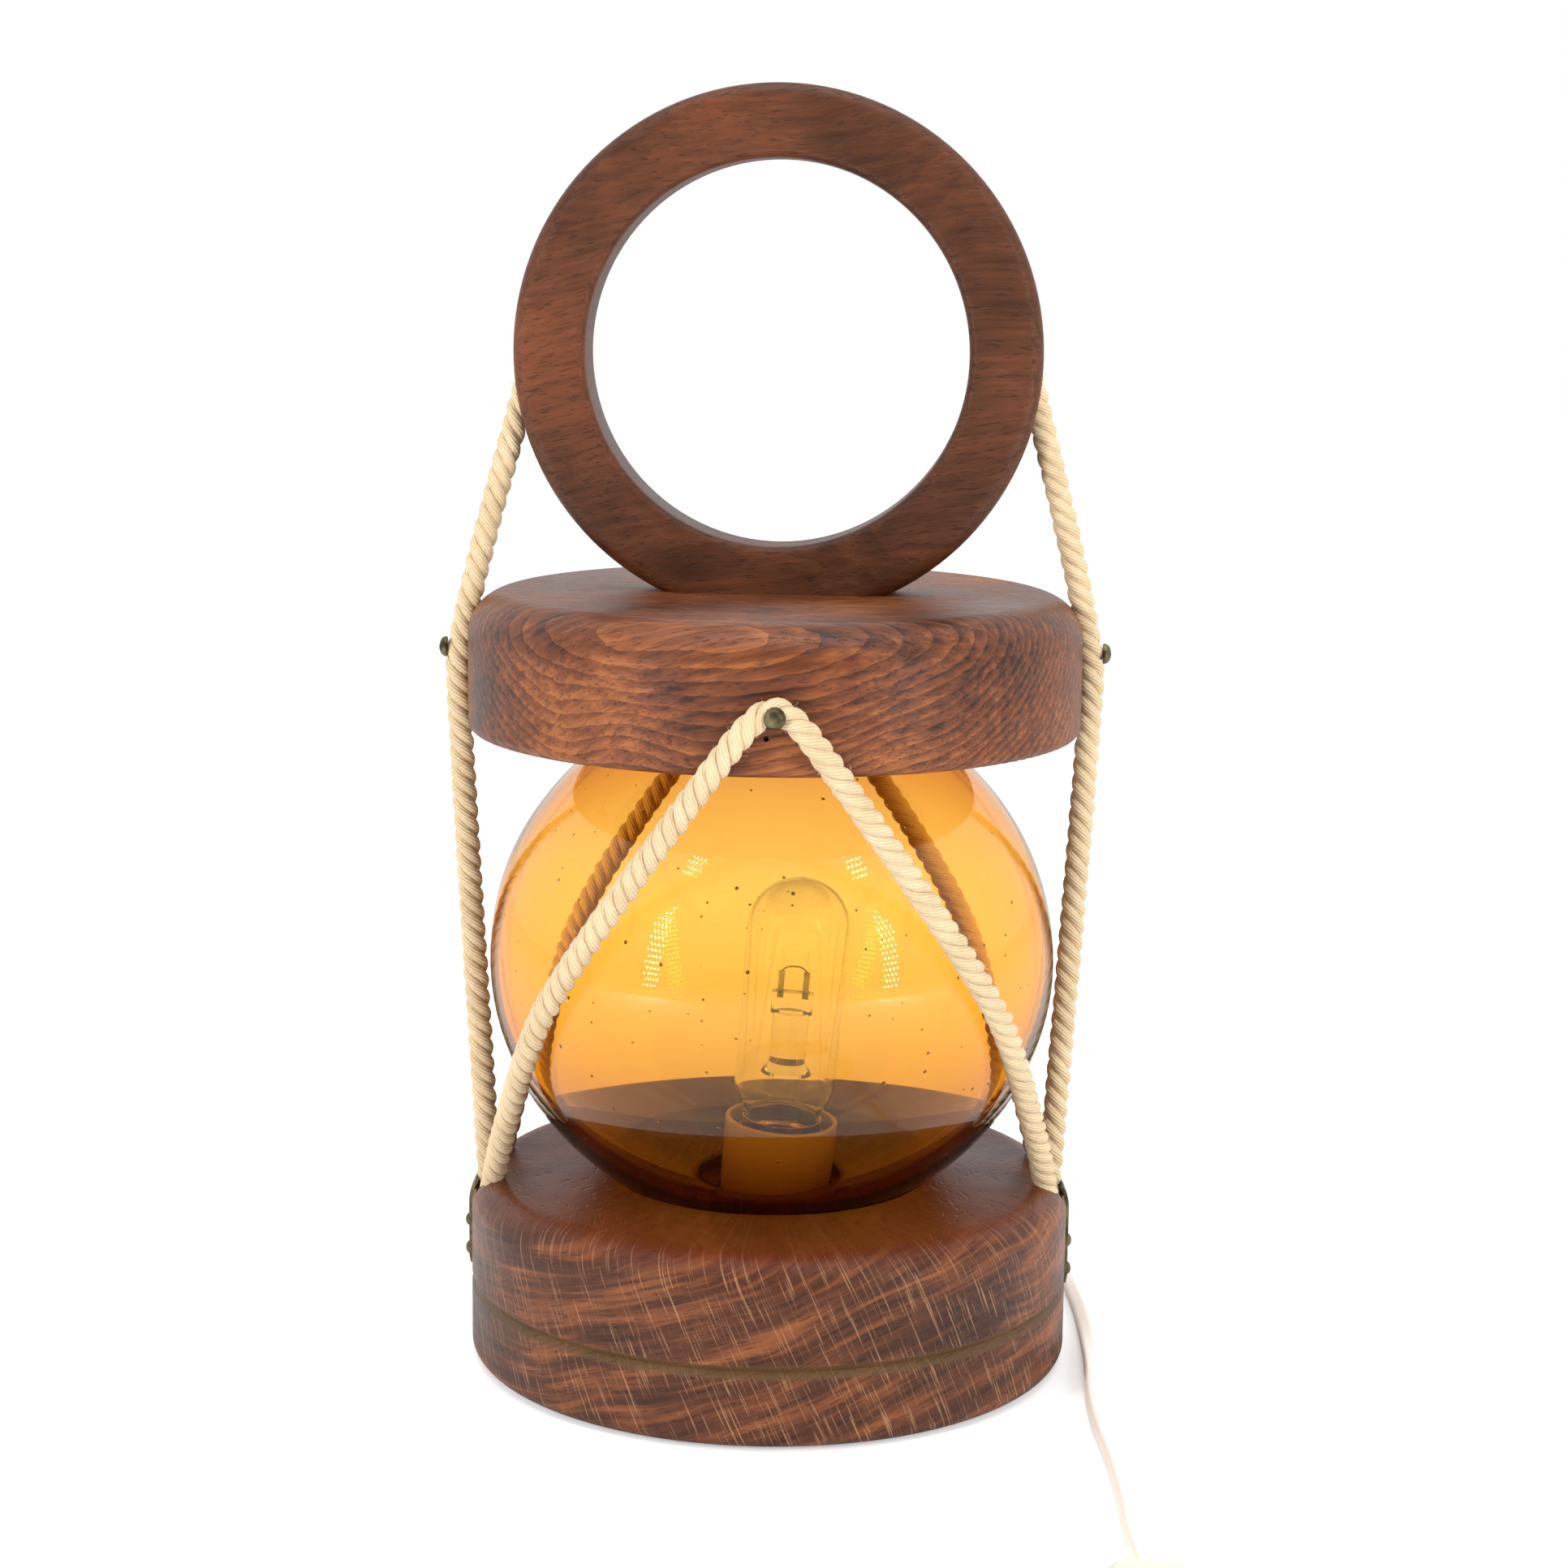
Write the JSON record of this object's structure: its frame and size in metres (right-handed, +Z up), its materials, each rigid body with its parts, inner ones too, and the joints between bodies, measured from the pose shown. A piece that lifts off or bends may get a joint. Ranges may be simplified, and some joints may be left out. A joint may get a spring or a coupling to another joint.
{
  "type": "table lantern",
  "caption": "Ship-style table lantern: amber glass globe between a turned wooden base and top disc, lashed with rope, with a wooden ring handle and a corded lampholder.",
  "frame": {"origin": "centre of the underside, on the surface it stands on", "axes": "+Z up along the base's turned axis, +X to the lantern's right seen from the front, front at -Y"},
  "size_m": [0.2258, 0.5266, 0.4167],
  "materials": {
    "stained_wood": "satin oil, reddish brown with dark figure",
    "felt": "pressed wool felt",
    "amber_glass": "clear amber, blown, polished",
    "cotton_rope": "undyed laid cotton",
    "aged_brass": "antiqued, worn on the edges",
    "steel": "zinc plated",
    "holder_plastic": "cream moulded",
    "core_moulding": "dark phenolic moulding",
    "plain_brass": "plain",
    "solder": "dull",
    "black_glass": "fused black glass",
    "clear_glass": "clear",
    "relief_rubber": "ivory moulded rubber",
    "cord_pvc": "ivory PVC twin flex",
    "grip_plastic": "moulded nylon",
    "brown_insulation": "PVC",
    "blue_insulation": "PVC",
    "switch_plastic": "ivory moulded",
    "plug_plastic": "ivory moulded",
    "nickel_pins": "nickel plated brass"
  },
  "bodies": {
    "lantern": {"base_block": "stained_wood", "top_disc": "stained_wood", "ring_handle": "stained_wood", "base_felt": "felt", "glass_globe": "amber_glass", "rope_left": "cotton_rope", "rope_right": "cotton_rope", "rope_front": "cotton_rope", "rope_back": "cotton_rope", "disc_nails": "aged_brass", "strap_left": "aged_brass", "strap_right": "aged_brass", "strap_nails": "aged_brass", "ring_screws": "steel", "holder_nipple": "steel", "nipple_washer": "steel", "nipple_nut": "steel", "grip_screws": "steel", "rocker_pin": "steel", "switch_screws": "steel", "bulb_leads": "steel", "bulb_filament": "steel", "holder_cap": "holder_plastic", "holder_shell": "holder_plastic", "holder_core": "core_moulding", "holder_thread": "plain_brass", "holder_contact": "plain_brass", "bulb_cap": "plain_brass", "switch_contacts": "plain_brass", "bulb_contact": "solder", "bulb_insulator": "black_glass", "bulb_glass": "clear_glass", "bulb_stem": "clear_glass", "cord_relief": "relief_rubber", "cord_tail": "cord_pvc", "cord_lead": "cord_pvc", "cord_to_coil": "cord_pvc", "cord_coil": "cord_pvc", "cord_to_plug": "cord_pvc", "cord_grip": "grip_plastic", "wire_live": "brown_insulation", "wire_neutral": "blue_insulation", "switch_base": "switch_plastic", "switch_cover": "switch_plastic", "plug_body": "plug_plastic", "plug_pins": "nickel_pins"},
    "rocker": {"switch_rocker": "switch_plastic"}
  },
  "joints": [
    {"name": "switch_rock", "type": "hinge", "parent": "lantern", "child": "rocker", "pos_m": [0.104, -0.234, 0.011], "axis": [1, 0, 0], "range_deg": [0, 16]}
  ]
}
